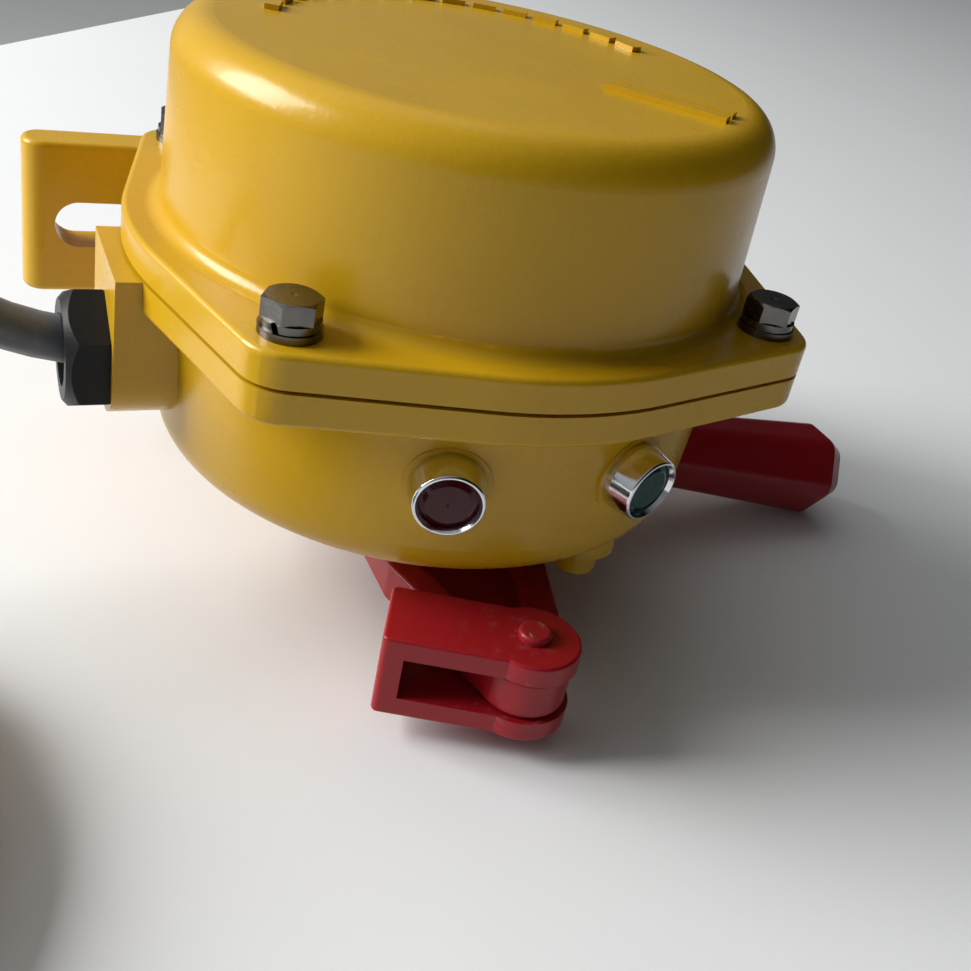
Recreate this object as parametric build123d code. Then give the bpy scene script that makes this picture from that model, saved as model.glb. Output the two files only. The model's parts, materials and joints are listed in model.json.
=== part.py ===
from build123d import *
from math import cos, pi, radians, sin, tan
import os

# Rope-operated safety switch (conveyor pull-cord switch), millimetres.
# The model is drawn about the lever shaft: Z up through the dome, the split between cover and
# base at Z 0, the cable leaving along -X and the front rope arm along -Y. On export everything
# moves so that the origin sits in the middle of the two mounting slots, on the mounting face.

# Cover and base casting
DOME_BASE_R = 65.2
DOME_TOP_R = 64.2
DOME_TOP_Z = 47.5
DOME_EDGE_R = 8.0
WALL = 4.0
BOWL_RIM_R = 66.1
BOWL_FOOT_R = 63.3
BOWL_FLOOR_Z = -46.5
BOWL_EDGE_R = 9.8
FLOOR_T = 5.0
CORNER_BLEND_R = 3.0
FLANGE_R = 72.8
COVER_FLANGE_T = 6.9
BASE_FLANGE_T = 6.8
FLANGE_EDGE_R = 1.2
GASKET_T = 0.8
GASKET_SETBACK = 1.6

# Cover screws, spring washers and flat washers
BOLT_COUNT = 4
BOLT_CIRCLE_R = 73.5
BOLT_FIRST_ANGLE = 45.0
BOLT_EAR_R = 9.5
M6_R = 3.0
M6_HEX = 10.0
M6_HEAD_H = 4.0
M6_CLEARANCE_R = 3.3
THREAD_FIT = 0.08
WASHER_R = 6.0
WASHER_T = 1.6
SPRING_WASHER_R = 5.6
SPRING_WASHER_T = 1.6
SPRING_WASHER_SLIT = 1.2
HEAD_TURN = (35.0, 5.0, 12.0, 20.0)

# Plain raised marks on the dome
MARK_H = 1.1
MARK_ARC_R = 45.0
MARK_ARC_FROM = 19.0
MARK_ARC_TO = 157.0
MARK_COUNT = 15
MARK_SIZE = (3.0, 5.6)
BAR_AT = (28.2, -30.4)
BAR_ANGLE = -47.0
BAR_LENGTH = 26.0
BAR_WIDTH = 3.4
BAR_GAP = 5.0

# Mounting plate at the back of the base
PLATE_HALF_X = 87.0
PLATE_FRONT_Y = 68.0
PLATE_T = 11.0
PLATE_H = 39.8
PLATE_END_R = 5.0
PLATE_EDGE_R = 1.5
PLATE_WEB_HALF_X = 40.0
SLOT_R = 6.0
SLOT_LENGTH = 27.0
SLOT_SPACING = 132.0
SLOT_Z = -21.6

# Cable gland and its boss
GLAND_Z = -22.4
BOSS_END_X = -76.6
BOSS_HALF_Y = 14.6
BOSS_BOTTOM_Z = -34.6
BOSS_ROUND_R = 12.0
GLAND_THREAD_R = 10.0
GLAND_HEX = 24.0
GLAND_NUT_L = 8.8
GLAND_NUT_MOUTH_R = 7.8
LOCKNUT_HEX = 26.0
LOCKNUT_T = 4.0
CABLE_R = 5.1
CABLE_FIT = 0.2
SEAL_T = 5.0

# Signal lamps
LAMP_ANGLES = {"red": -108.0, "green": -71.0}
LAMP_Z = -21.7
LAMP_TILT = 4.0
LAMP_BODY_R = 6.0
LAMP_BASE_R = 7.9
LAMP_LIP_R = 7.1
LAMP_LIP_AT = 72.2
LAMP_SEAT_AT = 65.4
LAMP_SEAT_R = 9.0
LAMP_REACH = 22.0
LENS_R = 6.0
LENS_DEPTH = 1.0
LAMP_NUT_HEX = 16.0
LAMP_NUT_T = 3.0

# Lever shaft, bush and seal
SHAFT_R = 7.0
SHAFT_TOP_Z = -12.0
RUN_FIT = 0.05
BUSH_R = 10.0
HUB_R = 16.0
HUB_BOTTOM_Z = -53.0
HUB_TOP_Z = -33.0
SEAL_R = 11.5
SHAFT_SEAL_T = 4.0

# Stepped boss under the base, beside the lever's front arm
BOSS_AT = (23.5, -47.0)
BOSS_PAD_R = 8.0
BOSS_PAD_Z = -48.6
BOSS_POST_R = 5.0
BOSS_POST_Z = -55.4

# Lever casting
LEVER_TOP_Z = -56.8
LEVER_T = 9.4
ARM_HALF_W = 19.4
ARM_SHOULDER_Y = 44.0
ARM_SHOULDER_R = 5.0
PIN_Y = 74.7
KNUCKLE_R = 9.3
LEVER_HUB_R = 15.0
LEVER_HUB_GAP = 0.8
POCKET_RIM = 7.0
POCKET_WEB = 2.6
POCKET_START_Y = 24.0
POCKET_END_Y = 62.0
POCKET_ROUND = 3.0
LEVER_EDGE_R = 1.0
WASHER_RECESS = 3.0
LEVER_WASHER_R = 12.0

# Rope shackles and their pins
PIN_R = 3.0
PIN_FIT = 0.1
PIN_HEAD_R = 3.6
PIN_HEAD_H = 1.8
SHACKLE_GAP = 0.4
SHACKLE_CHEEK_T = 4.8
SHACKLE_EYE_R = 10.3
SHACKLE_W = 18.2
SHACKLE_LENGTH = 30.8
SHACKLE_BRIDGE = 5.0
SHACKLE_EDGE_R = 0.8
SHACKLE_NECK_R = 4.0
FRONT_SHACKLE_TURN = 154.5
REAR_SHACKLE_TURN = 334.5

# Handle
HANDLE_AXIS_X = 90.0
HANDLE_AXIS_Z = -57.9
HANDLE_DROOP = 10.2
GRIP_START = 62.0
GRIP_SHOULDER = 129.2
GRIP_END = 134.2
GRIP_START_HEX = 17.6
GRIP_SHOULDER_HEX = 24.8
GRIP_END_HEX = 19.6
GRIP_CORNER = 0.22
TANG_R = 6.0
TANG_FIT = 0.05
TANG_LENGTH = 52.0
SHANK_HALF_Y = 8.0
SHANK_TOP_Z = -48.4

# Switch mechanism inside the base
DECK_Z = -31.5
DECK_T = 1.5
DECK_R = 44.0
DECK_HOLE_R = 13.0
POST_R = 4.0
POST_CIRCLE_R = 38.0
DECK_SCREW_R = 1.5
DECK_SCREW_HEAD_R = 2.8
CAM_R = 16.0
CAM_FLAT = 14.6
CAM_T = 7.0
CAM_Z = -28.0
SWITCH_SIZE = (28.0, 16.0, 10.3)
SWITCH_GAP_Y = 22.5
ROLLER_R = 2.4
ROLLER_GAP = 0.4
SWITCH_ARM_T = 0.6
SWITCH_ARM_GAP = 1.4
TERMINAL_SIZE = (12.0, 32.0, 12.0)
TERMINAL_X = -35.0
TERMINAL_WAYS = 6

# Free cable: hand-picked points from inside the gland to the coil on the bench
BENCH_Z = -77.6
COIL_R = 55.0
COIL_ROWS = 2
CABLE_ROUTE = [
    (-57.5, 0.0, GLAND_Z),
    (-87.3, 0.0, GLAND_Z),
    (-117.0, 0.0, -5.5),
    (-158.0, -3.0, -8.0),
    (-195.0, -13.5, -32.0),
    (-217.0, -32.0, -51.0),
    (-227.3, -55.0, -60.0),
    (-229.5, -83.0, -62.3),
]
COIL_CENTRE = (-174.0, -73.0)

# Heights and places that follow from the values above
COVER_Z = GASKET_T / 2
BASE_Z = -GASKET_T / 2
COVER_FLANGE_Z = COVER_Z + COVER_FLANGE_T
BASE_FLANGE_Z = BASE_Z - BASE_FLANGE_T
FLOOR_Z = BOWL_FLOOR_Z + FLOOR_T
PLATE_BACK_Y = PLATE_FRONT_Y + PLATE_T
LEVER_Z = LEVER_TOP_Z - LEVER_T
LEVER_MID_Z = LEVER_TOP_Z - LEVER_T / 2
SHACKLE_SLOT_H = LEVER_T + 2 * SHACKLE_GAP
SHACKLE_H = SHACKLE_SLOT_H + 2 * SHACKLE_CHEEK_T
OVERLAP = 2.0
ORIGIN = Pos(0, -PLATE_BACK_Y, -SLOT_Z)


def turned(points, rounds=()):
    """A solid of revolution about Z from (radius, height) points, with rounded corners."""
    face = make_face(Polyline(*points, close=True))
    for radius, height, size in rounds:
        corner = face.vertices().sort_by_distance((radius, height, 0))[0]
        face = fillet(corner, size)
    return revolve(Plane.XZ * face, Axis.Z)


def disc(radius, low, high, at=(0, 0)):
    """An upright cylinder between two heights."""
    return Pos(at[0], at[1], low) * extrude(Circle(radius), high - low)


def ring(outer, inner, low, high, at=(0, 0)):
    """An upright ring between two heights."""
    return Pos(at[0], at[1], low) * extrude(Circle(outer) - Circle(inner), high - low)


def hex_head(across, height, rounding=0.12):
    """A hexagon head standing on Z 0, its top corners turned down to a cone."""
    blank = extrude(RegularPolygon(across / 2, 6, major_radius=False), height)
    top_r = across / 2 * 0.97
    cone = Cone(top_r + height * 1.8, top_r, height, align=(Align.CENTER, Align.CENTER, Align.MIN))
    dimple = Pos(0, 0, height) * Cone(0.2, 1.4, 2 * rounding)
    return (blank & cone) - dimple


def flange_face(setback=0.0):
    """The flange outline: a round plate and four screw ears joined by straight tangents."""
    edges = Circle(FLANGE_R - setback).edges()
    for spot in PolarLocations(BOLT_CIRCLE_R, BOLT_COUNT, BOLT_FIRST_ANGLE):
        edges += (spot * Circle(BOLT_EAR_R - setback)).edges()
    return make_hull(edges)


def bolt_spots():
    """Where the cover screws stand."""
    return PolarLocations(BOLT_CIRCLE_R, BOLT_COUNT, BOLT_FIRST_ANGLE)


def dome_marks():
    """Plain raised ticks on an arc and a pair of plain bars on the dome's flat top."""
    ticks = []
    step = (MARK_ARC_TO - MARK_ARC_FROM) / (MARK_COUNT - 1)
    for index in range(MARK_COUNT):
        angle = MARK_ARC_FROM + index * step
        spot = Rot(0, 0, angle) * Pos(MARK_ARC_R, 0)
        ticks.append(spot * Rectangle(*MARK_SIZE))
    for side in (-1, 1):
        spot = Pos(*BAR_AT) * Rot(0, 0, BAR_ANGLE) * Pos(0, side * BAR_GAP / 2)
        ticks.append(spot * Rectangle(BAR_LENGTH, BAR_WIDTH))
    return Pos(0, 0, DOME_TOP_Z - MARK_H) * extrude(Sketch(children=ticks), 2 * MARK_H)


def dome_cover():
    """The cover: a drafted dome on a flange with four screw ears."""
    flange = Pos(0, 0, COVER_Z) * extrude(flange_face(), COVER_FLANGE_T)
    flange = fillet(flange.edges().group_by(Axis.Z)[-1], FLANGE_EDGE_R)
    neck_r = DOME_BASE_R + CORNER_BLEND_R + 1
    dome = turned(
        [(0, COVER_Z), (neck_r, COVER_Z), (neck_r, COVER_FLANGE_Z), (DOME_BASE_R, COVER_FLANGE_Z),
         (DOME_TOP_R, DOME_TOP_Z), (0, DOME_TOP_Z)],
        [(DOME_BASE_R, COVER_FLANGE_Z, CORNER_BLEND_R), (DOME_TOP_R, DOME_TOP_Z, DOME_EDGE_R)],
    )
    roof_z = DOME_TOP_Z - WALL
    hollow = turned(
        [(0, COVER_Z - 1), (DOME_BASE_R - WALL, COVER_Z - 1), (DOME_TOP_R - WALL, roof_z), (0, roof_z)],
        [(DOME_TOP_R - WALL, roof_z, DOME_EDGE_R - WALL)],
    )
    holes = bolt_spots() * Cylinder(M6_CLEARANCE_R, 4 * COVER_FLANGE_T)
    return flange + dome + dome_marks() - hollow - holes


def lamp_frame(colour):
    """A frame on a lamp's axis: Z points out of the bowl, the origin is on the shaft's axis."""
    turn = LAMP_ANGLES[colour]
    axis_z = LAMP_Z + LAMP_LIP_AT * sin(radians(LAMP_TILT))
    return Pos(0, 0, axis_z) * Rot(0, 0, turn) * Rot(0, 90 + LAMP_TILT, 0)


def gland_frame():
    """A frame on the gland's axis: Z points out along -X, the origin is on the boss face."""
    return Pos(BOSS_END_X, 0, GLAND_Z) * Rot(0, -90, 0)


def gland_boss():
    """The block that carries the gland, flat on top and rounded below."""
    low, high = BOSS_BOTTOM_Z, BASE_Z
    width = 2 * BOSS_HALF_Y
    face = Pos(0, (low + high) / 2) * Rectangle(width, high - low)
    face = fillet(face.vertices().sort_by(Axis.Y)[:2], BOSS_ROUND_R)
    side = Plane(origin=(BOSS_END_X, 0, 0), x_dir=(0, 1, 0), z_dir=(1, 0, 0))
    return extrude(side * face, BOWL_FOOT_R - WALL)


def mounting_plate():
    """The thick plate behind the bowl with its two slots and the web that carries it."""
    middle = (PLATE_FRONT_Y + PLATE_BACK_Y) / 2
    low = BASE_Z - PLATE_H
    plan = Pos(0, middle) * Rectangle(2 * PLATE_HALF_X, PLATE_T)
    plan = fillet(plan.vertices(), PLATE_END_R)
    plate = Pos(0, 0, low) * extrude(plan, PLATE_H)
    plate = fillet(plate.edges().group_by(Axis.Z)[0] + plate.edges().group_by(Axis.Z)[-1], PLATE_EDGE_R)
    slot = Rot(90, 0, 0) * extrude(SlotOverall(SLOT_LENGTH, 2 * SLOT_R), 2 * PLATE_T, both=True)
    for side in (-1, 1):
        plate -= Pos(side * SLOT_SPACING / 2, middle, SLOT_Z) * slot
    return plate


def plate_web():
    """The solid web between the bowl and the mounting plate."""
    depth = PLATE_FRONT_Y + OVERLAP - BOWL_FOOT_R / 2
    centre = (PLATE_FRONT_Y + OVERLAP + BOWL_FOOT_R / 2) / 2
    plan = Pos(0, centre) * Rectangle(2 * PLATE_WEB_HALF_X, depth)
    return Pos(0, 0, BASE_Z - PLATE_H + PLATE_EDGE_R) * extrude(plan, PLATE_H - PLATE_EDGE_R)


def base_housing():
    """The base: bowl, flange, gland boss, mounting plate, hub, posts and lamp seats."""
    flange = Pos(0, 0, BASE_FLANGE_Z) * extrude(flange_face(), BASE_FLANGE_T)
    flange = fillet(flange.edges().group_by(Axis.Z)[0], FLANGE_EDGE_R)
    neck_r = BOWL_RIM_R + CORNER_BLEND_R + 1
    bowl = turned(
        [(0, BOWL_FLOOR_Z), (BOWL_FOOT_R, BOWL_FLOOR_Z), (BOWL_RIM_R, BASE_FLANGE_Z),
         (neck_r, BASE_FLANGE_Z), (neck_r, BASE_Z), (0, BASE_Z)],
        [(BOWL_FOOT_R, BOWL_FLOOR_Z, BOWL_EDGE_R), (BOWL_RIM_R, BASE_FLANGE_Z, CORNER_BLEND_R)],
    )
    hollow = turned(
        [(0, FLOOR_Z), (BOWL_FOOT_R - WALL, FLOOR_Z), (BOWL_RIM_R - WALL, BASE_Z + 1), (0, BASE_Z + 1)],
        [(BOWL_FOOT_R - WALL, FLOOR_Z, BOWL_EDGE_R - WALL)],
    )
    body = flange + bowl + gland_boss() + plate_web() + mounting_plate()
    for colour in LAMP_ANGLES:
        body += lamp_frame(colour) * disc(LAMP_SEAT_R, BOWL_FOOT_R - WALL, LAMP_SEAT_AT)
    body -= hollow
    body += disc(HUB_R, HUB_BOTTOM_Z, HUB_TOP_Z)
    post = disc(BOSS_POST_R, BOSS_POST_Z, FLOOR_Z, BOSS_AT)
    body += fillet(post.edges().group_by(Axis.Z)[0], 0.8)
    body += disc(BOSS_PAD_R, BOSS_PAD_Z, FLOOR_Z, BOSS_AT)
    for spot in PolarLocations(POST_CIRCLE_R, 4, 45):
        body += spot * disc(POST_R, FLOOR_Z - 1, DECK_Z)
        body -= spot * disc(DECK_SCREW_R + THREAD_FIT, DECK_Z - 8, DECK_Z + 1)
    body -= disc(BUSH_R, HUB_BOTTOM_Z - 1, HUB_TOP_Z + 1)
    body -= disc(SEAL_R, HUB_BOTTOM_Z - 1, HUB_BOTTOM_Z + SHAFT_SEAL_T)
    body -= gland_frame() * Cylinder(GLAND_THREAD_R, 60)
    for colour in LAMP_ANGLES:
        body -= lamp_frame(colour) * disc(LAMP_BODY_R + THREAD_FIT, BOWL_FOOT_R / 2, LAMP_LIP_AT)
        body -= lamp_frame(colour) * disc(LAMP_SEAT_R, BOWL_FOOT_R / 2, BOWL_FOOT_R - WALL)
    body -= bolt_spots() * (Pos(0, 0, BASE_Z) * Cylinder(M6_R + THREAD_FIT, 4 * BASE_FLANGE_T))
    return body


def cover_gasket():
    """The flat gasket between the two flanges, set back from their edge."""
    face = flange_face(GASKET_SETBACK) - Circle(BOWL_RIM_R - WALL)
    face -= bolt_spots() * Circle(M6_CLEARANCE_R)
    return Pos(0, 0, BASE_Z) * extrude(face, GASKET_T)


def cover_bolts():
    """The cover screws, each head turned as it happened to be tightened."""
    seat_z = COVER_FLANGE_Z + WASHER_T + SPRING_WASHER_T
    screws = []
    for spot, turn in zip(bolt_spots(), HEAD_TURN):
        head = Rot(0, 0, turn) * hex_head(M6_HEX, M6_HEAD_H)
        shank = disc(M6_R, BASE_FLANGE_Z - seat_z + 1, OVERLAP / 4)
        screws.append(spot * Pos(0, 0, seat_z) * (head + shank))
    return Compound(children=screws)


def washers(outer, inner, low, thickness, slit=0.0):
    """One washer under each cover screw, split when a slit is given."""
    plain = ring(outer, inner, low, low + thickness)
    if slit:
        plain -= Pos(outer, 0, low + thickness / 2) * Rot(20, 0, 0) * Box(2 * outer, slit, 3 * thickness)
    return Compound(children=[spot * plain for spot in bolt_spots()])


def lamp_bezel(colour):
    """A chromed lamp body: a slightly conical head on a threaded sleeve."""
    head = turned(
        [(0, LAMP_SEAT_AT), (LAMP_BASE_R, LAMP_SEAT_AT), (LAMP_BASE_R, LAMP_SEAT_AT + 1.6),
         (LAMP_LIP_R, LAMP_LIP_AT), (0, LAMP_LIP_AT)],
        [(LAMP_LIP_R, LAMP_LIP_AT, 0.6), (LAMP_BASE_R, LAMP_SEAT_AT + 1.6, 0.6)],
    )
    sleeve = disc(LAMP_BODY_R, LAMP_SEAT_AT - LAMP_REACH, LAMP_SEAT_AT + OVERLAP)
    mouth = disc(LENS_R, LAMP_LIP_AT - LENS_DEPTH - 2.5, LAMP_LIP_AT + 1)
    flare = Pos(0, 0, LAMP_LIP_AT - LENS_DEPTH / 2) * Cone(LENS_R, LENS_R + 0.5, LENS_DEPTH + 0.02)
    return lamp_frame(colour) * (head + sleeve - mouth - flare)


def lamp_lens(colour):
    """A low domed lens seated in the lamp's mouth."""
    foot = LAMP_LIP_AT - LENS_DEPTH - 2.5
    edge = LAMP_LIP_AT - LENS_DEPTH - 0.6
    shape = turned(
        [(0, foot), (LENS_R, foot), (LENS_R, edge), (LENS_R - 1.6, edge + 1.0), (0, edge + 1.3)],
        [(LENS_R - 1.6, edge + 1.0, 1.0)],
    )
    return lamp_frame(colour) * shape


def lamp_nuts():
    """The nuts that hold the lamps from inside the bowl."""
    nuts = []
    for colour in LAMP_ANGLES:
        seat = BOWL_FOOT_R - WALL
        nut = extrude(RegularPolygon(LAMP_NUT_HEX / 2, 6, major_radius=False), -LAMP_NUT_T)
        nut -= Cylinder(LAMP_BODY_R + THREAD_FIT, 4 * LAMP_NUT_T)
        nuts.append(lamp_frame(colour) * Pos(0, 0, seat) * nut)
    return Compound(children=nuts)


def gland_body():
    """The threaded sleeve of the gland, screwed into the boss."""
    reach = BOWL_FOOT_R + BOSS_END_X - WALL - LOCKNUT_T - 2
    sleeve = disc(GLAND_THREAD_R - THREAD_FIT, reach, 0)
    return gland_frame() * (sleeve - disc(CABLE_R + 2 * CABLE_FIT + 1.0, reach - 1, 1))


def gland_nut():
    """The hexagonal cap nut of the gland, chamfered at its outer end."""
    blank = extrude(RegularPolygon(GLAND_HEX / 2, 6, major_radius=False), GLAND_NUT_L)
    corner_r = GLAND_HEX / 2 / cos(pi / 6)
    crown = turned(
        [(0, 0), (corner_r - 0.4, 0), (corner_r, 0.5), (corner_r, GLAND_NUT_L - 2.6),
         (corner_r - 3.0, GLAND_NUT_L), (0, GLAND_NUT_L)],
        [(corner_r, GLAND_NUT_L - 2.6, 1.5)],
    )
    return gland_frame() * ((blank & crown) - disc(GLAND_NUT_MOUTH_R, -1, GLAND_NUT_L + 1))


def gland_seal():
    """The rubber ring that grips the cable inside the sleeve's mouth."""
    outer = CABLE_R + 2 * CABLE_FIT + 1.0
    return gland_frame() * ring(outer, CABLE_R + CABLE_FIT / 4, -SEAL_T - 4, -4)


def gland_locknut():
    """The nut that holds the gland from inside the bowl."""
    seat = BOWL_FOOT_R + BOSS_END_X - WALL - 1.5
    blank = extrude(RegularPolygon(LOCKNUT_HEX / 2, 6, major_radius=False), -LOCKNUT_T)
    return gland_frame() * Pos(0, 0, seat) * (blank - Cylinder(GLAND_THREAD_R, 4 * LOCKNUT_T))


def lever_shaft():
    """The upright shaft that carries the lever below and the cam above."""
    foot = LEVER_Z + WASHER_RECESS + 1
    shaft = disc(SHAFT_R, foot, SHAFT_TOP_Z)
    return chamfer(shaft.edges().group_by(Axis.Z)[-1], 0.8)


def shaft_bush():
    """The bronze bush that the shaft turns in."""
    return ring(BUSH_R - THREAD_FIT, SHAFT_R + RUN_FIT, HUB_BOTTOM_Z + SHAFT_SEAL_T, HUB_TOP_Z)


def shaft_seal():
    """The lip seal at the bottom of the hub."""
    return ring(SEAL_R - THREAD_FIT, SHAFT_R + RUN_FIT, HUB_BOTTOM_Z, HUB_BOTTOM_Z + SHAFT_SEAL_T)


def arm_outline(inset=0.0):
    """The lever's plan: a broad bar whose ends taper to the two shackle knuckles."""
    edges = ShapeList()
    for side in (-1, 1):
        edges += (Pos(0, side * PIN_Y) * Circle(KNUCKLE_R - inset)).edges()
        for flank in (-1, 1):
            at = (flank * (ARM_HALF_W - ARM_SHOULDER_R), side * (ARM_SHOULDER_Y - ARM_SHOULDER_R))
            edges += (Pos(*at) * Circle(ARM_SHOULDER_R - inset / 2)).edges()
    return make_hull(edges)


def pocket(side):
    """The recess in one arm's top, narrowing with the arm."""
    near, far = POCKET_START_Y, POCKET_END_Y
    wide = ARM_HALF_W - POCKET_RIM
    taper = (ARM_HALF_W - KNUCKLE_R) / (PIN_Y - ARM_SHOULDER_Y)
    narrow = wide - taper * (far - ARM_SHOULDER_Y)
    plan = make_face(Polyline((-wide, near), (wide, near), (wide, ARM_SHOULDER_Y - 2), (narrow, far),
                              (-narrow, far), (-wide, ARM_SHOULDER_Y - 2), close=True))
    plan = fillet(plan.vertices(), POCKET_ROUND)
    cut = Pos(0, 0, LEVER_Z + POCKET_WEB) * extrude(plan, LEVER_T)
    return cut if side > 0 else Rot(0, 0, 180) * cut


def handle_frame():
    """A frame on the handle's drooping axis: Z points outward, at the grip's inner end."""
    droop = tan(radians(HANDLE_DROOP))
    start_z = HANDLE_AXIS_Z + droop * (HANDLE_AXIS_X - GRIP_START)
    return Pos(GRIP_START, 0, start_z) * Rot(0, 90 + HANDLE_DROOP, 0)


def handle_shank():
    """The cranked shank that rises from the lever to the handle and the tang inside the grip."""
    droop = tan(radians(HANDLE_DROOP))
    root_z = HANDLE_AXIS_Z + droop * (HANDLE_AXIS_X - GRIP_START)
    half = GRIP_START_HEX / 2 - 1.5
    end_x = GRIP_START - 2.6
    side = Plane(origin=(0, SHANK_HALF_Y, 0), x_dir=(1, 0, 0), z_dir=(0, -1, 0))
    outline = Polyline(
        (0, LEVER_Z), (ARM_HALF_W + 8, LEVER_Z), (end_x - 12, root_z - half - 1),
        (end_x, root_z - half), (end_x, root_z + half), (end_x - 4, SHANK_TOP_Z),
        (ARM_HALF_W + 14, SHANK_TOP_Z), (ARM_HALF_W + 2, LEVER_TOP_Z), (0, LEVER_TOP_Z), close=True,
    )
    blade = extrude(side * make_face(outline), 2 * SHANK_HALF_Y)
    tang = handle_frame() * disc(TANG_R, -OVERLAP, TANG_LENGTH)
    return blade + tang


def trip_lever():
    """The red lever: two pocketed rope arms, a hub and the handle's shank, cast in one."""
    plate = Pos(0, 0, LEVER_Z) * extrude(arm_outline(), LEVER_T)
    plate = fillet(plate.edges().group_by(Axis.Z)[0] + plate.edges().group_by(Axis.Z)[-1], LEVER_EDGE_R)
    for side in (-1, 1):
        plate -= pocket(side)
        plate -= disc(PIN_R, LEVER_Z - 1, LEVER_TOP_Z + 1, (0, side * PIN_Y))
    plate += handle_shank()
    plate += disc(LEVER_HUB_R, LEVER_TOP_Z - OVERLAP, HUB_BOTTOM_Z - LEVER_HUB_GAP)
    plate -= disc(SHAFT_R, LEVER_Z - 1, HUB_BOTTOM_Z)
    plate -= disc(LEVER_WASHER_R + 0.5, LEVER_Z - 1, LEVER_Z + WASHER_RECESS)
    return plate


def lever_washer():
    """The wide washer under the lever's screw."""
    high = LEVER_Z + WASHER_RECESS
    return ring(LEVER_WASHER_R, M6_R + THREAD_FIT, high - WASHER_T, high)


def lever_bolt():
    """The screw that holds the lever up on the shaft's end."""
    seat = LEVER_Z + WASHER_RECESS - WASHER_T
    head = Pos(0, 0, seat) * Rot(180, 0, 0) * hex_head(M6_HEX, M6_HEAD_H)
    return head + disc(M6_R, seat - OVERLAP / 4, LEVER_Z + WASHER_RECESS + 1)


def rope_shackle(turn, side):
    """A forked shackle that swings on the arm's knuckle, with a bridge for the rope's loop."""
    bar = Pos(SHACKLE_LENGTH / 2, 0) * Rectangle(SHACKLE_LENGTH, SHACKLE_W)
    plan = Circle(SHACKLE_EYE_R) + bar
    corners = plan.vertices().sort_by(Axis.X)
    plan = fillet(corners[-2:], 1.5)
    blank = Pos(0, 0, -SHACKLE_H / 2) * extrude(plan, SHACKLE_H)
    blank = fillet(blank.edges().group_by(Axis.Z)[0] + blank.edges().group_by(Axis.Z)[-1], SHACKLE_EDGE_R)
    inner = SHACKLE_LENGTH - SHACKLE_BRIDGE
    gap = Pos((inner - SHACKLE_EYE_R) / 2 - 1, 0) * Rectangle(inner + SHACKLE_EYE_R + 2, 4 * SHACKLE_W)
    blank -= Pos(0, 0, -SHACKLE_SLOT_H / 2) * extrude(gap, SHACKLE_SLOT_H)
    blank -= Cylinder(PIN_R + PIN_FIT, 2 * SHACKLE_H)
    return Pos(0, side * PIN_Y, LEVER_MID_Z) * Rot(0, 0, turn) * blank


def shackle_pin(side):
    """The headed pin, fixed in the lever's knuckle, that the shackle swings on."""
    half = SHACKLE_H / 2 + PIN_FIT
    upper = fillet(disc(PIN_HEAD_R, half, half + PIN_HEAD_H).edges().group_by(Axis.Z)[-1], 0.9)
    lower = fillet(disc(PIN_HEAD_R, -half - PIN_HEAD_H / 2, -half).edges().group_by(Axis.Z)[0], 0.7)
    pin = disc(PIN_R, -half - 0.2, half + 0.2) + upper + lower
    return Pos(0, side * PIN_Y, LEVER_MID_Z) * pin


def grip_section(across, at):
    """A rounded hexagon across the grip, flat sides up and down."""
    hexagon = RegularPolygon(across / 2, 6, major_radius=False, rotation=30)
    plan = fillet(hexagon.vertices(), across * GRIP_CORNER)
    return Pos(0, 0, at) * plan


def handle_grip():
    """The tapered six-sided grip, widest near its end, pushed on the lever's tang."""
    shoulder = GRIP_SHOULDER - GRIP_START
    end = GRIP_END - GRIP_START
    body = loft([grip_section(GRIP_START_HEX, 0), grip_section(GRIP_SHOULDER_HEX, shoulder)])
    tip = loft([grip_section(GRIP_SHOULDER_HEX, shoulder), grip_section(GRIP_END_HEX, end)])
    bore = disc(TANG_R + TANG_FIT, -1, TANG_LENGTH + 0.2)
    return handle_frame() * (body + tip - bore)


def switch_deck():
    """The plate on the posts that carries the switches and terminals."""
    face = Circle(DECK_R) - Circle(DECK_HOLE_R)
    face -= PolarLocations(POST_CIRCLE_R, 4, 45) * Circle(DECK_SCREW_R + THREAD_FIT)
    return Pos(0, 0, DECK_Z) * extrude(face, DECK_T)


def deck_screws():
    """The screws that hold the switch deck on its posts."""
    top = DECK_Z + DECK_T
    shank = disc(DECK_SCREW_R, DECK_Z - 6, top + 0.2)
    head = disc(DECK_SCREW_HEAD_R, top, top + 1.8)
    slot = Pos(0, 0, top + 1.8) * Box(4 * DECK_SCREW_R, 0.8, 1.2)
    screw = shank + head - slot
    return Compound(children=[spot * screw for spot in PolarLocations(POST_CIRCLE_R, 4, 45)])


def switch_cam():
    """The cam on the shaft, relieved where the two rollers rest."""
    face = Circle(CAM_R) - Circle(SHAFT_R)
    for side in (-1, 1):
        face -= Pos(0, side * (CAM_FLAT + CAM_R / 2)) * Rectangle(CAM_R, CAM_R)
    return Pos(0, 0, CAM_Z) * extrude(face, CAM_T)


def micro_switch(side):
    """A snap-action switch body standing on the deck beside the cam."""
    size_x, size_y, size_z = SWITCH_SIZE
    at = (0, side * (SWITCH_GAP_Y + size_y / 2), DECK_Z + DECK_T + size_z / 2)
    body = fillet(Box(*SWITCH_SIZE).edges().filter_by(Axis.Z), 1.0)
    for flank in (-1, 1):
        body -= Pos(flank * size_x * 0.32, -size_y * 0.2) * Cylinder(1.6, 2 * size_z)
    return Pos(*at) * (body if side > 0 else Rot(0, 0, 180) * body)


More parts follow.
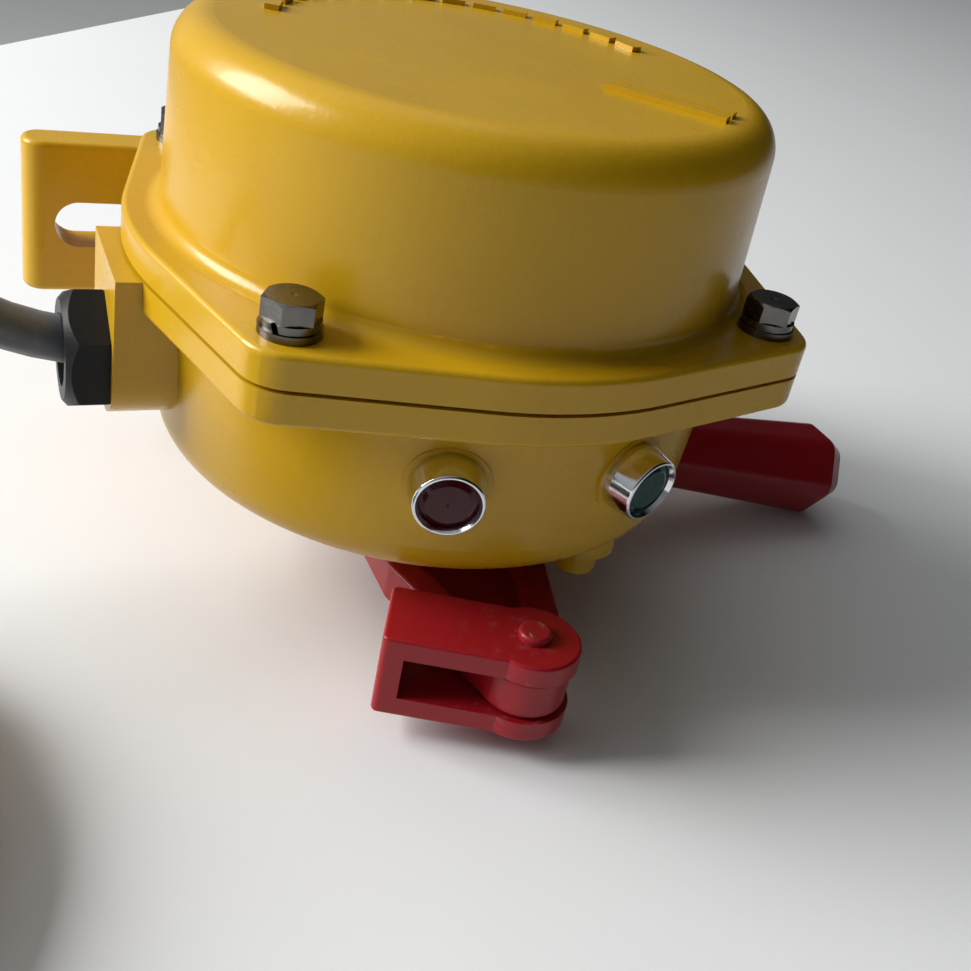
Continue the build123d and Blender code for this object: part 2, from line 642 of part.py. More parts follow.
def switch_roller_arm(side):
    """The spring arm and roller that the cam pushes against the switch."""
    size_x = SWITCH_SIZE[0]
    mid_z = DECK_Z + DECK_T + SWITCH_SIZE[2] / 2
    roller_y = CAM_R + ROLLER_GAP + ROLLER_R
    arm_y = SWITCH_GAP_Y - SWITCH_ARM_GAP - SWITCH_ARM_T / 2
    arm = Pos(-size_x * 0.15, arm_y, mid_z) * Box(size_x * 0.62, SWITCH_ARM_T, 5.0)
    hinge = Pos(-size_x * 0.44, arm_y, mid_z) * Cylinder(SWITCH_ARM_GAP - 0.2, 5.0)
    fork = Pos(0, (roller_y + arm_y) / 2, mid_z) * Box(2.2, arm_y - roller_y, 5.0)
    roller = Pos(0, roller_y, mid_z) * Cylinder(ROLLER_R, 4.0)
    whole = arm + hinge + fork + roller
    return whole if side > 0 else Rot(0, 0, 180) * whole


def terminal_block():
    """The terminal strip beside the gland."""
    size_x, size_y, size_z = TERMINAL_SIZE
    pitch = size_y / TERMINAL_WAYS
    body = Box(size_x, size_y, size_z)
    for index in range(TERMINAL_WAYS):
        at = (index - (TERMINAL_WAYS - 1) / 2) * pitch
        body -= Pos(0, at, size_z / 2) * Cylinder(pitch * 0.36, 4.0)
    return Pos(TERMINAL_X, 0, DECK_Z + DECK_T + size_z / 2) * body


def terminal_screws():
    """The brass screws in the terminal strip."""
    size_y, size_z = TERMINAL_SIZE[1:]
    pitch = size_y / TERMINAL_WAYS
    top = DECK_Z + DECK_T + size_z
    radius = pitch * 0.36 - 0.1
    screw = disc(radius, top - 2.0, top - 0.6) - Pos(0, 0, top - 0.6) * Box(4 * radius, 0.6, 0.8)
    spots = [(index - (TERMINAL_WAYS - 1) / 2) * pitch for index in range(TERMINAL_WAYS)]
    return Compound(children=[Pos(TERMINAL_X, at, 0) * screw for at in spots])


def core_leads():
    """The cable's cores between its jacket and the terminal strip."""
    start_x = CABLE_ROUTE[0][0]
    end_x = TERMINAL_X - TERMINAL_SIZE[0] / 2
    leads = []
    for index in range(TERMINAL_WAYS - 1):
        angle = 2 * pi * index / (TERMINAL_WAYS - 1)
        at = (start_x, 3.0 * cos(angle), GLAND_Z + 3.0 * sin(angle))
        leads.append(Pos(*at) * Rot(0, 90, 0) * disc(1.1, 0, end_x - start_x))
    return Compound(children=leads)


def cable_tube():
    """The cable from the gland to its coil: straight runs and the largest arcs between them."""
    points = [Vector(*point) for point in CABLE_ROUTE]
    runs = [after - before for before, after in zip(points, points[1:])]
    radii = []
    for before, after in zip(runs, runs[1:]):
        half_turn = radians(before.get_angle(after)) / 2
        radii.append(0.45 * min(before.length, after.length) / tan(half_turn))
    path = FilletPolyline(*points, radius=radii)
    tube = sweep(Plane(origin=points[0], z_dir=runs[0]) * Circle(CABLE_R), path=path)
    print("cable radii", [round(radius, 1) for radius in radii], "length", round(path.length, 1))
    print("cable volume over section times length", round(tube.volume / path.length / pi / CABLE_R**2, 4))
    return tube


def cable_coil():
    """The outer shape of the wound cable, as one ring on the bench."""
    half = CABLE_R * COIL_ROWS
    low = BENCH_Z
    corners = [(COIL_R - half, low), (COIL_R + half, low), (COIL_R + half, low + 2 * half),
               (COIL_R - half, low + 2 * half)]
    coil = turned(corners, [(x, y, CABLE_R) for x, y in corners])
    return Pos(*COIL_CENTRE) * coil


PARTS = {
    "dome_cover": dome_cover,
    "base_housing": base_housing,
    "cover_gasket": cover_gasket,
    "cover_bolts": cover_bolts,
    "flat_washers": lambda: washers(WASHER_R, M6_CLEARANCE_R, COVER_FLANGE_Z, WASHER_T),
    "spring_washers": lambda: washers(SPRING_WASHER_R, M6_CLEARANCE_R, COVER_FLANGE_Z + WASHER_T,
                                      SPRING_WASHER_T, SPRING_WASHER_SLIT),
    "lamp_bezel_red": lambda: lamp_bezel("red"),
    "lamp_bezel_green": lambda: lamp_bezel("green"),
    "lamp_lens_red": lambda: lamp_lens("red"),
    "lamp_lens_green": lambda: lamp_lens("green"),
    "lamp_nuts": lamp_nuts,
    "gland_body": gland_body,
    "gland_nut": gland_nut,
    "gland_seal": gland_seal,
    "gland_locknut": gland_locknut,
    "lever_shaft": lever_shaft,
    "shaft_bush": shaft_bush,
    "shaft_seal": shaft_seal,
    "trip_lever": trip_lever,
    "lever_washer": lever_washer,
    "lever_bolt": lever_bolt,
    "rope_shackle_front": lambda: rope_shackle(FRONT_SHACKLE_TURN, -1),
    "rope_shackle_rear": lambda: rope_shackle(REAR_SHACKLE_TURN, 1),
    "shackle_pin_front": lambda: shackle_pin(-1),
    "shackle_pin_rear": lambda: shackle_pin(1),
    "handle_grip": handle_grip,
    "switch_deck": switch_deck,
    "deck_screws": deck_screws,
    "switch_cam": switch_cam,
    "micro_switch_rear": lambda: micro_switch(1),
    "micro_switch_front": lambda: micro_switch(-1),
    "roller_arm_rear": lambda: switch_roller_arm(1),
    "roller_arm_front": lambda: switch_roller_arm(-1),
    "terminal_block": terminal_block,
    "terminal_screws": terminal_screws,
    "core_leads": core_leads,
    "cable": cable_tube,
    "cable_coil": cable_coil,
}

os.makedirs("parts", exist_ok=True)
for name, make in PARTS.items():
    export_step(ORIGIN * make(), f"parts/{name}.step")
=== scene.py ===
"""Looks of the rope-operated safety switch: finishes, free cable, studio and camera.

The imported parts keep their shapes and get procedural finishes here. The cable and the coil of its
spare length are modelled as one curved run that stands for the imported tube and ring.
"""

import json
import logging
import math
from dataclasses import dataclass
from enum import Enum
from typing import Callable, Dict, List, Optional, Sequence, Tuple, Union

import bpy
from mathutils import Matrix, Vector


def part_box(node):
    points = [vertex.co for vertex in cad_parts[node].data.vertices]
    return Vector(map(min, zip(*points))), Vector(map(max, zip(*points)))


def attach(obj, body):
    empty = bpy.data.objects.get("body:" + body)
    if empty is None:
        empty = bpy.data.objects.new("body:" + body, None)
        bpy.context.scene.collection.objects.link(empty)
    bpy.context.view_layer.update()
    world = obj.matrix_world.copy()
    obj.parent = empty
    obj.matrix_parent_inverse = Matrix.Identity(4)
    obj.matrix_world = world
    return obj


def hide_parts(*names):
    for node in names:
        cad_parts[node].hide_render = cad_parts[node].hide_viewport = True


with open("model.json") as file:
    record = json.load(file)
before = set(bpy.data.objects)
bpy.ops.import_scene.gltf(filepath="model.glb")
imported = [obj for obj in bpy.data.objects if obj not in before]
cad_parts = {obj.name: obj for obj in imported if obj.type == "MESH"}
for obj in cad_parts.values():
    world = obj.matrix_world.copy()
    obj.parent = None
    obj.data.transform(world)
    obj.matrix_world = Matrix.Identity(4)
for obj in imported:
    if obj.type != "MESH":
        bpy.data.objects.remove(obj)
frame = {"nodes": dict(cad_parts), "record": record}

LOG = logging.getLogger("switch")
Colour = Tuple[float, float, float]
Value = Union[bpy.types.NodeSocket, Colour, float]

# The camera, in metres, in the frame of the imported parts
CAMERA_AT = Vector((-0.11055, -0.32036, 0.12298))
CAMERA_FORWARD = Vector((0.412982, 0.751053, -0.515136))
CAMERA_UP = Vector((0.056700, 0.543323, 0.837607))
CAMERA_LENS_MM = 44.70
CAMERA_SENSOR_MM = 36.0

# The bench under the switch and the cable's coil. The floor lies the bench's height below it, and
# the gap keeps the bench top from showing through the cable's underside.
BENCH_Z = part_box("cable_coil")[0].z
BENCH_SIZE = 6.0
BENCH_HEIGHT = 0.45
BENCH_GAP = 0.0002
BENCH_EDGE_AT = Vector((-0.068, 0.377, 0.0))
BENCH_EDGE_TURN = 47.5

# The room: the direction of its bright side, and its darkest and brightest glow
WINDOW_SIDE = (-0.75, 0.45, 0.48)
ROOM_DARK = 0.004
ROOM_BRIGHT = 0.50
ROOM_TINT = (0.95, 0.98, 1.0, 1.0)
GLOW_FROM = -0.1
LIGHTS_AIM_AT = Vector((0.0, -0.08, 0.0))

# How deep the surface grain of a finish may be
BUMP_DEPTH = 0.0004

# The free cable
CABLE_DIAMETER = 0.0102
CABLE_LENGTH = 1.50
GLAND_Z = -0.0008
CABLE_EXIT = Vector((-0.0575, -0.079, GLAND_Z))
CABLE_ROUTE = [
    Vector((-0.0873, -0.079, GLAND_Z)),
    Vector((-0.1170, -0.079, 0.0161)),
    Vector((-0.1580, -0.082, 0.0136)),
    Vector((-0.1950, -0.0925, -0.0104)),
    Vector((-0.2170, -0.111, -0.0294)),
    Vector((-0.2273, -0.134, -0.0384)),
]
COIL_CENTRE = Vector((-0.174, -0.152, 0.0))
COIL_MEAN_R = 0.055
COIL_POINTS_PER_TURN = 16
LAYER_CHANGE_SHARE = 0.3
TURN_STEPS = 40
TURN_STEPS_FROM = 80
TURN_STEPS_TO = 170
LENGTH_SLACK = 0.004
CORE_HIDDEN = 0.004
CORE_LEAN = 0.006


class Look(Enum):
    """The families of finish used on this product."""

    ENAMEL = "enamel"
    METAL = "metal"
    PLASTIC = "plastic"
    RUBBER = "rubber"
    LENS = "lens"


@dataclass(frozen=True)
class Finish:
    """One finish: its colours, its gloss and how worn it is."""

    name: str
    look: Look
    base: Colour
    variation: Colour
    roughness: float
    grain_per_metre: float = 900.0
    bump: float = 0.1
    wear: float = 0.0
    worn_colour: Colour = (0.32, 0.31, 0.30)
    metallic: float = 0.0
    coat: float = 0.0


class Graph:
    """A small helper that builds a material's node tree from the output backwards."""

    def __init__(self, material: bpy.types.Material) -> None:
        """Clears the material's nodes.

        Args:
            material: The material whose nodes are rebuilt.
        """
        material.use_nodes = True
        self.tree = material.node_tree
        self.tree.nodes.clear()

    def node(self, kind: str, settings: Optional[dict] = None, **inputs) -> bpy.types.Node:
        """Adds a node.

        Args:
            kind: The node's type name.
            settings: Attribute values of the node.
            **inputs: Socket names, with underscores for spaces, and a value or a socket for each.

        Returns:
            The new node.
        """
        made = self.tree.nodes.new(kind)
        for key, value in (settings or {}).items():
            setattr(made, key, value)
        for key, value in inputs.items():
            self.feed(made.inputs[key.replace("_", " ")], value)
        return made

    def feed(self, socket: bpy.types.NodeSocket, value: Value) -> None:
        """Links a socket to another, or sets its value."""
        if isinstance(value, bpy.types.NodeSocket):
            self.tree.links.new(value, socket)
        elif isinstance(value, tuple) and len(value) == 3 and socket.type == "RGBA":
            socket.default_value = (*value, 1.0)
        else:
            socket.default_value = value

    def noise(
        self, scale: float, detail: float = 3.0, stretch: Colour = (1, 1, 1)
    ) -> bpy.types.NodeSocket:
        """A noise value over the object's own coordinates.

        Args:
            scale: Features per metre.
            detail: How many finer layers are added.
            stretch: How much each axis is squeezed.

        Returns:
            The value, from nought to one.
        """
        where = self.node("ShaderNodeTexCoord").outputs["Object"]
        placed = self.node("ShaderNodeMapping", Vector=where, Scale=stretch)
        made = self.node(
            "ShaderNodeTexNoise", Vector=placed.outputs[0], Scale=scale, Detail=detail
        )
        return made.outputs[0]

    def band(
        self, value: Value, low: float, high: float, to: Tuple[float, float] = (0, 1)
    ) -> bpy.types.NodeSocket:
        """Maps a value's range onto another range, clamped.

        Args:
            value: The value to map.
            low: Where the range starts.
            high: Where the range ends.
            to: The range that it becomes.

        Returns:
            The mapped value.
        """
        made = self.node("ShaderNodeMapRange", {"clamp": True})
        self.feed(made.inputs[0], value)
        for index, number in enumerate((low, high, *to), start=1):
            made.inputs[index].default_value = number
        return made.outputs[0]

    def mix(self, factor: Value, first: Value, second: Value) -> bpy.types.NodeSocket:
        """Mixes two colours, the second in full where the factor is one."""
        made = self.node("ShaderNodeMix", {"data_type": "RGBA"})
        self.feed(made.inputs[0], factor)
        self.feed(made.inputs[6], first)
        self.feed(made.inputs[7], second)
        return made.outputs[2]

    def maths(self, operation: str, first: Value, second: Value = 0.5) -> bpy.types.NodeSocket:
        """One arithmetic step."""
        made = self.node("ShaderNodeMath", {"operation": operation})
        self.feed(made.inputs[0], first)
        self.feed(made.inputs[1], second)
        return made.outputs[0]

    def convex_edges(self, spread: float) -> bpy.types.NodeSocket:
        """One on sharp outer edges, fading to nought over the spread of the surface's curvature."""
        pointed = self.node("ShaderNodeNewGeometry").outputs["Pointiness"]
        return self.band(pointed, 0.5 + spread * 0.35, 0.5 + spread)

    def finish(self, shader: bpy.types.Node) -> None:
        """Joins the shader to the output."""
        out = self.node("ShaderNodeOutputMaterial")
        self.tree.links.new(shader.outputs[0], out.inputs["Surface"])


def bump_of(graph: Graph, height: Value, strength: float) -> bpy.types.NodeSocket:
    """A bump normal from a height value."""
    made = graph.node("ShaderNodeBump", Strength=strength, Distance=BUMP_DEPTH, Height=height)
    return made.outputs[0]


def enamel(graph: Graph, finish: Finish) -> bpy.types.Node:
    """Sprayed enamel over a casting: soft orange peel, slow tone changes and chipped edges.

    Args:
        graph: The node builder.
        finish: The finish's values.

    Returns:
        The surface shader.
    """
    tone = graph.band(graph.noise(22.0, 2.0), 0.35, 0.7)
    colour = graph.mix(tone, finish.base, finish.variation)
    specks = graph.band(graph.noise(650.0, 4.0), 0.70, 0.78, (0.0, 0.22))
    colour = graph.mix(specks, colour, tuple(0.55 * part for part in finish.base))
    chips = graph.band(graph.noise(420.0, 5.0), 0.62 - 0.14 * finish.wear, 0.66)
    edges = graph.convex_edges(0.16)
    bare = graph.maths("MULTIPLY", graph.maths("MULTIPLY", edges, chips), finish.wear)
    colour = graph.mix(bare, colour, finish.worn_colour)
    gloss = (finish.roughness, finish.roughness + 0.12)
    rough = graph.band(graph.noise(60.0, 3.0), 0.3, 0.8, gloss)
    rough = graph.maths("ADD", rough, graph.maths("MULTIPLY", bare, 0.35))
    peel = graph.maths("ADD", graph.noise(finish.grain_per_metre, 2.0),
                       graph.maths("MULTIPLY", graph.noise(110.0, 2.0), 1.6))
    peel = graph.maths("SUBTRACT", peel, graph.maths("MULTIPLY", bare, 0.8))
    return graph.node("ShaderNodeBsdfPrincipled", Base_Color=colour, Roughness=rough,
                      Coat_Weight=finish.coat, Coat_Roughness=0.12, Specular_IOR_Level=0.30,
                      Normal=bump_of(graph, peel, finish.bump))


def metal(graph: Graph, finish: Finish) -> bpy.types.Node:
    """Turned or ground metal with fine scratches and a slow, random change of tone."""
    tone = graph.band(graph.noise(160.0, 4.0), 0.3, 0.75)
    colour = graph.mix(tone, finish.base, finish.variation)
    scratches = graph.noise(finish.grain_per_metre, 3.0, (1.0, 1.0, 14.0))
    rough = graph.band(scratches, 0.25, 0.8, (finish.roughness, finish.roughness + 0.16))
    return graph.node("ShaderNodeBsdfPrincipled", Base_Color=colour, Metallic=finish.metallic,
                      Roughness=rough, Normal=bump_of(graph, scratches, finish.bump))


def plastic(graph: Graph, finish: Finish) -> bpy.types.Node:
    """Moulded plastic with a fine spark-eroded grain and scuffed edges."""
    grain = graph.noise(finish.grain_per_metre, 3.0)
    tone = graph.band(graph.noise(70.0, 4.0), 0.35, 0.75)
    colour = graph.mix(tone, finish.base, finish.variation)
    scuffs = graph.maths("MULTIPLY", graph.convex_edges(0.08), finish.wear)
    colour = graph.mix(scuffs, colour, finish.worn_colour)
    rough = graph.band(grain, 0.3, 0.8, (finish.roughness, finish.roughness + 0.15))
    return graph.node("ShaderNodeBsdfPrincipled", Specular_IOR_Level=0.22, Base_Color=colour,
                      Roughness=rough, Normal=bump_of(graph, grain, finish.bump))


def rubber(graph: Graph, finish: Finish) -> bpy.types.Node:
    """Extruded rubber or PVC: a dry, faintly mottled surface with a little dust."""
    dust = graph.band(graph.noise(240.0, 5.0), 0.5, 0.8, (0.0, 0.45))
    colour = graph.mix(dust, finish.base, finish.variation)
    grain = graph.noise(finish.grain_per_metre, 3.0)
    return graph.node("ShaderNodeBsdfPrincipled", Base_Color=colour, Roughness=finish.roughness,
                      Sheen_Weight=0.15, Normal=bump_of(graph, grain, finish.bump))


def lens(graph: Graph, finish: Finish) -> bpy.types.Node:
    """A dark, unlit signal lens: tinted gloss plastic with a faint noise ripple in its surface."""
    # Painted sheen: where the domed lens turns away from the camera, its colour lightens towards
    # the second colour as a painted rim highlight.
    painted_rim_sheen = graph.node("ShaderNodeLayerWeight", Blend=0.35).outputs["Facing"]
    colour = graph.mix(graph.band(painted_rim_sheen, 0.5, 1.0), finish.base, finish.variation)
    ripple = graph.noise(finish.grain_per_metre, 1.0)
    return graph.node("ShaderNodeBsdfPrincipled", Base_Color=colour, Roughness=finish.roughness,
                      IOR=1.45, Specular_IOR_Level=0.35,
                      Normal=bump_of(graph, ripple, finish.bump))


SHADERS: Dict[Look, Callable[[Graph, Finish], bpy.types.Node]] = {
    Look.ENAMEL: enamel,
    Look.METAL: metal,
    Look.PLASTIC: plastic,
    Look.RUBBER: rubber,
    Look.LENS: lens,
}

FINISHES: Dict[str, Finish] = {
    finish.name: finish
    for finish in (
        Finish("body_yellow", Look.ENAMEL, (0.56, 0.325, 0.008), (0.52, 0.295, 0.007), 0.24,
               grain_per_metre=800.0, bump=0.10, wear=0.08, coat=0.15),
        Finish("lever_red", Look.ENAMEL, (0.33, 0.007, 0.014), (0.28, 0.006, 0.012), 0.30,
               bump=0.14, wear=0.45, worn_colour=(0.26, 0.20, 0.20), coat=0.15),
        Finish("grip_red", Look.ENAMEL, (0.33, 0.007, 0.014), (0.28, 0.006, 0.012), 0.30,
               bump=0.14, wear=0.10, worn_colour=(0.20, 0.10, 0.10), coat=0.1),
        Finish("pin_red", Look.ENAMEL, (0.34, 0.012, 0.018), (0.24, 0.010, 0.014), 0.30,
               bump=0.16, wear=0.8, worn_colour=(0.32, 0.28, 0.27), coat=0.2),
        # The stainless colours are a little warm, like dull real steel, and darkened well below
        # bare steel as painted shade for the dark room that the bolts reflect.
        Finish("stainless", Look.METAL, (0.17, 0.16, 0.145), (0.10, 0.094, 0.088), 0.17,
               grain_per_metre=500.0, bump=0.05, metallic=1.0),
        Finish("bezel_chrome", Look.METAL, (0.78, 0.78, 0.80), (0.66, 0.66, 0.70), 0.05,
               grain_per_metre=300.0, bump=0.01, metallic=1.0),
        Finish("shaft_steel", Look.METAL, (0.50, 0.50, 0.51), (0.36, 0.36, 0.37), 0.25,
               grain_per_metre=700.0, bump=0.06, metallic=1.0),
        Finish("deck_zinc", Look.METAL, (0.60, 0.60, 0.58), (0.50, 0.49, 0.45), 0.32,
               grain_per_metre=400.0, bump=0.05, metallic=1.0),
        Finish("bronze", Look.METAL, (0.45, 0.26, 0.10), (0.32, 0.18, 0.07), 0.35,
               grain_per_metre=900.0, bump=0.08, metallic=1.0),
        Finish("screw_brass", Look.METAL, (0.62, 0.46, 0.18), (0.50, 0.36, 0.13), 0.28,
               grain_per_metre=900.0, bump=0.05, metallic=1.0),
        Finish("gasket_black", Look.RUBBER, (0.012, 0.012, 0.012), (0.05, 0.045, 0.04), 0.85,
               grain_per_metre=1800.0, bump=0.2),
        Finish("seal_rubber", Look.RUBBER, (0.014, 0.014, 0.015), (0.05, 0.05, 0.05), 0.7,
               grain_per_metre=1800.0, bump=0.2),
        Finish("cable_grey", Look.RUBBER, (0.105, 0.112, 0.120), (0.20, 0.20, 0.20), 0.42,
               grain_per_metre=1500.0, bump=0.12),
        Finish("gland_black", Look.PLASTIC, (0.004, 0.004, 0.005), (0.008, 0.008, 0.009), 0.36,
               grain_per_metre=2600.0, bump=0.12, wear=0.15, worn_colour=(0.03, 0.03, 0.03)),
        Finish("switch_black", Look.PLASTIC, (0.015, 0.015, 0.017), (0.03, 0.03, 0.03), 0.45,
               grain_per_metre=2600.0, bump=0.15),
        Finish("terminal_cream", Look.PLASTIC, (0.58, 0.54, 0.42), (0.50, 0.46, 0.34), 0.45,
               grain_per_metre=2200.0, bump=0.10),
        Finish("core_white", Look.PLASTIC, (0.62, 0.61, 0.57), (0.50, 0.49, 0.45), 0.40,
               grain_per_metre=1600.0, bump=0.06),
        # For the lenses the second colour is not a tone change. It is the painted rim sheen that
        # the lens shader lays on the rim.
        Finish("lens_red", Look.LENS, (0.055, 0.004, 0.008), (0.10, 0.02, 0.03), 0.08,
               grain_per_metre=900.0, bump=0.05),
        Finish("lens_green", Look.LENS, (0.006, 0.045, 0.040), (0.03, 0.12, 0.11), 0.08,
               grain_per_metre=900.0, bump=0.05),
    )
}


def material_for(name: str) -> bpy.types.Material:
    """The Blender material of a finish, built once.

    Args:
        name: The record's material slot.

    Returns:
        The material.
    """
    found = bpy.data.materials.get("look_" + name)
    if found:
        return found
    finish = FINISHES[name]
    made = bpy.data.materials.new("look_" + name)
    graph = Graph(made)
    graph.finish(SHADERS[finish.look](graph, finish))
    return made


def dress_nodes() -> None:
    """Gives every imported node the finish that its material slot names."""
    for part in frame["record"]["subparts"]:
        shown = frame["nodes"][part["node"]]
        shown.data.materials.clear()
        shown.data.materials.append(material_for(part["material_slot"]))


@dataclass
class FreeCable:
    """The cable from the gland to the end of its coil, as one line of control points."""

    name: str
    diameter: float
    length: float
    entry: Vector
    route: Sequence[Vector]

    def coil_points(self, turns: float) -> List[Vector]:
        """The coil's control points, wound from its upper layer down to the bench.

        Args:
            turns: How many turns the coil has.

        Returns:
            The points, in the order that the cable runs.
        """
        half = self.diameter / 2
        rings = [
            (COIL_MEAN_R + half, BENCH_Z + 3 * half),
            (COIL_MEAN_R - half, BENCH_Z + 3 * half),
            (COIL_MEAN_R - half, BENCH_Z + half),
            (COIL_MEAN_R + half, BENCH_Z + half),
        ]
        bulge = 1 / (0.25 * math.cos(2 * math.pi / COIL_POINTS_PER_TURN) + 0.75)
        points = []
        for index in range(1, int(turns * COIL_POINTS_PER_TURN) + 1):
            place = index / COIL_POINTS_PER_TURN
            whole = min(int(place), len(rings) - 1)
            radius, height = rings[whole]
            if whole == 0:
                before = (COIL_MEAN_R, height)
            else:
                before = rings[whole - 1]
            blend = min((place - whole) / LAYER_CHANGE_SHARE, 1.0)
            blend = blend * blend * (3 - 2 * blend)
            radius = before[0] + (radius - before[0]) * blend
            height = before[1] + (height - before[1]) * blend
            angle = math.pi + 2 * math.pi * place
            around = Vector((math.cos(angle), math.sin(angle), 0.0)) * radius * bulge
            points.append(COIL_CENTRE + around + Vector((0, 0, height)))
        return points

    def line(self, turns: float) -> List[Vector]:
        """All control points for a coil of that many turns."""
        return [self.entry, *self.route, *self.coil_points(turns)]

    def build(self) -> bpy.types.Object:
        """Makes the curve, with as many turns as its real length needs.

        Returns:
            The curve object.
        """
        turns = next(
            step / TURN_STEPS
            for step in range(TURN_STEPS_FROM, TURN_STEPS_TO)
            if curve_length(self.line(step / TURN_STEPS)) >= self.length - LENGTH_SLACK
        )
        points = self.line(turns)
        data = bpy.data.curves.new(self.name, "CURVE")
        data.dimensions = "3D"
        data.bevel_depth = self.diameter / 2
        data.bevel_resolution = 5
        data.resolution_u = 6
        data.use_fill_caps = True
        spline = data.splines.new("NURBS")
        spline.points.add(len(points) - 1)
        for point, place in zip(spline.points, points):
            point.co = (*place, 1.0)
        spline.order_u = 3
        spline.use_endpoint_u = True
        made = bpy.data.objects.new(self.name, data)
        bpy.context.scene.collection.objects.link(made)
        data.materials.append(material_for("cable_grey"))
        LOG.info("cable: %.2f turns, %.3f m", turns, curve_length(points))
        return made


def curve_length(points: Sequence[Vector]) -> float:
    """The length of the smooth line that a quadratic spline draws through control points.

    Args:
        points: The control points.

    Returns:
        The length in metres.
    """
    total = 0.0
    for index in range(1, len(points) - 1):
        before, corner, after = points[index - 1 : index + 2]
        start = before if index == 1 else (before + corner) / 2
        end = after if index == len(points) - 2 else (corner + after) / 2
        last = start
        for step in range(1, 9):
            share = step / 8
            here = start * (1 - share) ** 2 + corner * 2 * share * (1 - share) + end * share**2
            total += (here - last).length
            last = here
    return total


@dataclass
class StrippedCores:
    """The short cores that stand out of the cable's free end."""

    name: str
    count: int = 5
    core_r: float = 0.0011
    circle_r: float = 0.0026
    length: float = 0.022

    def build(self, end: Vector, heading: Vector) -> bpy.types.Object:
        """Makes the cores as one curve object.

        Args:
            end: The middle of the jacket's end.
            heading: The direction that the cable runs in there.

        Returns:
            The curve object.
        """
        data = bpy.data.curves.new(self.name, "CURVE")
        data.dimensions = "3D"
        data.bevel_depth = self.core_r
        data.bevel_resolution = 3
        data.use_fill_caps = True
        side = heading.cross(Vector((0, 0, 1))).normalized()
        inward = COIL_CENTRE - end
        inward.z = 0.0
        inward.normalize()
        for index in range(self.count):
            angle = 2 * math.pi * index / self.count
            offset = (side * math.cos(angle) + Vector((0, 0, math.sin(angle)))) * self.circle_r
            start = end + offset - heading * CORE_HIDDEN
            middle = end + offset + heading * self.length * 0.5 + inward * self.length * 0.08
            reach = heading * self.length * (0.92 + 0.03 * index)
            tip = end + offset * 0.9 + reach + inward * CORE_LEAN
            spline = data.splines.new("NURBS")
            spline.points.add(2)
            for point, place in zip(spline.points, (start, middle, tip)):
                point.co = (*place, 1.0)
            spline.order_u = 3
            spline.use_endpoint_u = True
        made = bpy.data.objects.new(self.name, data)
        bpy.context.scene.collection.objects.link(made)
        data.materials.append(material_for("core_white"))
        return made


def add_cable() -> None:
    """Builds the free cable with its stripped end and parents both to the housing."""
    cable = FreeCable("free_cable", CABLE_DIAMETER, CABLE_LENGTH, CABLE_EXIT, CABLE_ROUTE)
    run = cable.build()
    spline = run.data.splines[0]
    last = Vector(spline.points[-1].co[:3])
    heading = (last - Vector(spline.points[-2].co[:3])).normalized()
    cores = StrippedCores("free_cable_cores").build(last, heading)
    for piece in (run, cores):
        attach(piece, "housing")
    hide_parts("cable", "cable_coil")


def flat_material(name: str, colour: Colour, roughness: float) -> bpy.types.Material:
    """A paper-like studio surface with a faint unevenness."""
    made = bpy.data.materials.new(name)
    graph = Graph(made)
    tone = graph.band(graph.noise(9.0, 4.0), 0.3, 0.8, (0.0, 0.5))
    shade = graph.mix(tone, colour, tuple(0.95 * part for part in colour))
    graph.finish(graph.node("ShaderNodeBsdfPrincipled", Base_Color=shade, Roughness=roughness))
    return made


def add_bench() -> None:
    """The pale bench top, with its far edge behind the switch, and the floor below it."""
    turn = math.radians(BENCH_EDGE_TURN)
    inward = Vector((math.sin(turn), -math.cos(turn), 0.0))
    planes = (
        ("bench_top", BENCH_EDGE_AT + inward * BENCH_SIZE / 2 + Vector((0, 0, BENCH_Z - BENCH_GAP)),
         BENCH_SIZE, flat_material("bench_paper", (0.84, 0.85, 0.86), 0.60)),
        ("room_floor", Vector((0, 0, BENCH_Z - BENCH_HEIGHT)),
         2 * BENCH_SIZE, flat_material("floor_grey", (0.92, 0.92, 0.91), 0.70)),
    )
    for name, centre, size, material in planes:
        bpy.ops.mesh.primitive_plane_add(size=size, location=centre, rotation=(0, 0, turn))
        plane = bpy.context.object
        plane.name = name
        plane.data.materials.append(material)


@dataclass(frozen=True)
class Softbox:
    """One rectangular light, aimed at a point."""

    name: str
    at: Vector
    size: Tuple[float, float]
    watts: float
    colour: Colour = (1.0, 1.0, 1.0)

    def build(self, target: Vector) -> None:
        """Adds the light, facing the target.

        Args:
            target: The point the light faces.
        """
        data = bpy.data.lights.new(self.name, "AREA")
        data.shape = "RECTANGLE"
        data.size, data.size_y = self.size
        data.energy = self.watts
        data.color = self.colour
        lamp = bpy.data.objects.new(self.name, data)
        lamp.location = self.at
        lamp.rotation_mode = "QUATERNION"
        lamp.rotation_quaternion = (target - self.at).to_track_quat("-Z", "Y")
        bpy.context.scene.collection.objects.link(lamp)


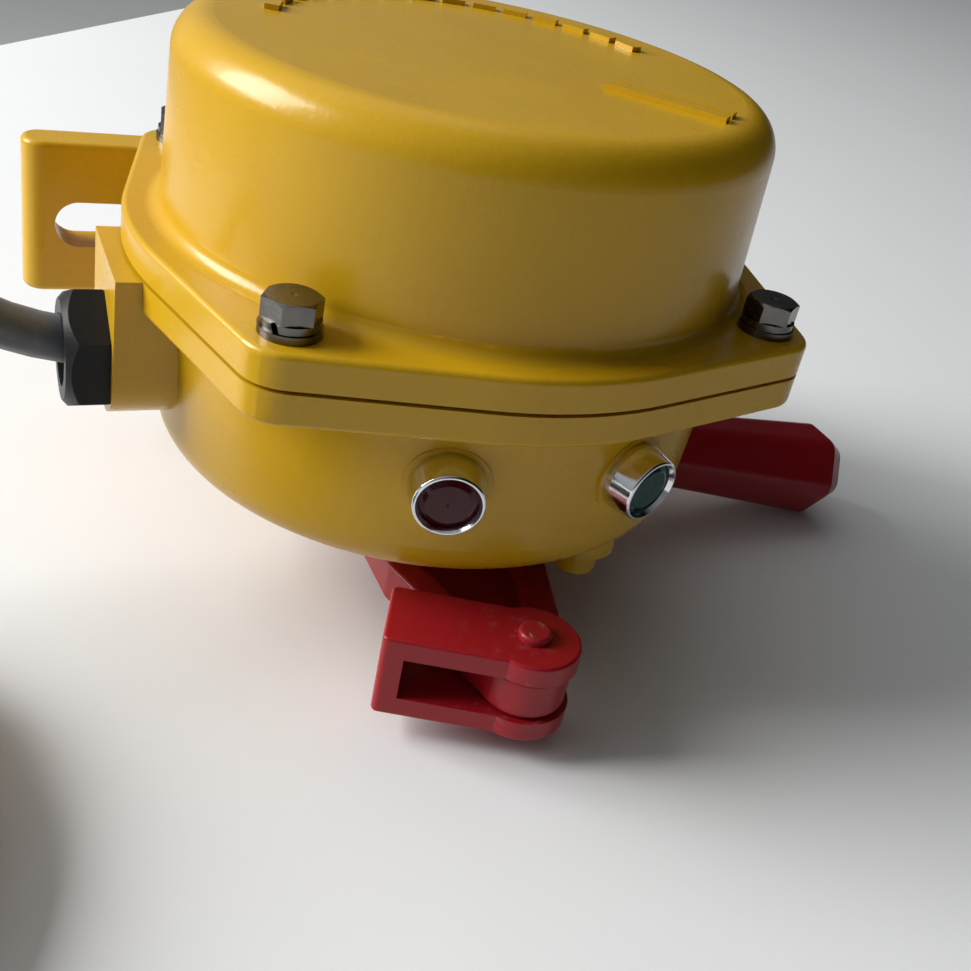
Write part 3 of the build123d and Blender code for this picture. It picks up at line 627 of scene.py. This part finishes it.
def room_light() -> bpy.types.World:
    """A dim room whose window side and ceiling are bright and whose near side is dark.

    Returns:
        The world.
    """
    made = bpy.data.worlds.new("room")
    made.use_nodes = True
    tree = made.node_tree
    tree.nodes.clear()
    out = tree.nodes.new("ShaderNodeOutputWorld")
    sky = tree.nodes.new("ShaderNodeBackground")
    ramp = tree.nodes.new("ShaderNodeMapRange")
    facing = tree.nodes.new("ShaderNodeVectorMath")
    where = tree.nodes.new("ShaderNodeTexCoord")
    facing.operation = "DOT_PRODUCT"
    facing.inputs[1].default_value = WINDOW_SIDE
    tree.links.new(where.outputs["Generated"], facing.inputs[0])
    tree.links.new(facing.outputs["Value"], ramp.inputs[0])
    for index, value in enumerate((GLOW_FROM, 1.0, ROOM_DARK, ROOM_BRIGHT), start=1):
        ramp.inputs[index].default_value = value
    tree.links.new(ramp.outputs[0], sky.inputs["Strength"])
    sky.inputs["Color"].default_value = ROOM_TINT
    tree.links.new(sky.outputs[0], out.inputs["Surface"])
    return made


def add_light() -> None:
    """A window to the left and behind, and a dim room."""
    boxes = [
        Softbox("window", Vector((-1.31, 0.45, 0.75)), (0.90, 0.95), 43.0, (1.0, 0.995, 0.98)),
        Softbox("ceiling", Vector((-0.1, 0.5, 1.3)), (1.2, 0.9), 1.6, (1.0, 0.99, 0.97)),
    ]
    for box in boxes:
        box.build(LIGHTS_AIM_AT)
    bpy.context.scene.world = room_light()


def add_camera() -> None:
    """The main camera, close above the front left of the switch."""
    data = bpy.data.cameras.new("camera")
    data.lens = CAMERA_LENS_MM
    data.sensor_width = CAMERA_SENSOR_MM
    data.clip_start = 0.01
    data.clip_end = 20.0
    camera = bpy.data.objects.new("camera", data)
    back = -CAMERA_FORWARD.normalized()
    right = CAMERA_UP.cross(back).normalized()
    up = back.cross(right)
    turn = Matrix((right, up, back)).transposed().to_4x4()
    camera.matrix_world = Matrix.Translation(CAMERA_AT) @ turn
    bpy.context.scene.collection.objects.link(camera)
    bpy.context.scene.camera = camera


def set_view() -> None:
    """Plain colour handling, with no film curve."""
    view = bpy.context.scene.view_settings
    view.view_transform = "Standard"
    view.look = "None"
    view.exposure = 0.0


def main() -> None:
    """Builds the whole scene, and reports each piece."""
    logging.basicConfig(level=logging.INFO)
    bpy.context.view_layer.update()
    steps = (
        ("packed nodes", dress_nodes),
        ("free cable", add_cable),
        ("bench", add_bench),
        ("lights", add_light),
        ("camera", add_camera),
        ("view", set_view),
    )
    for name, build in steps:
        build()
        LOG.info("built: %s", name)


if __name__ == "__main__":
    main()
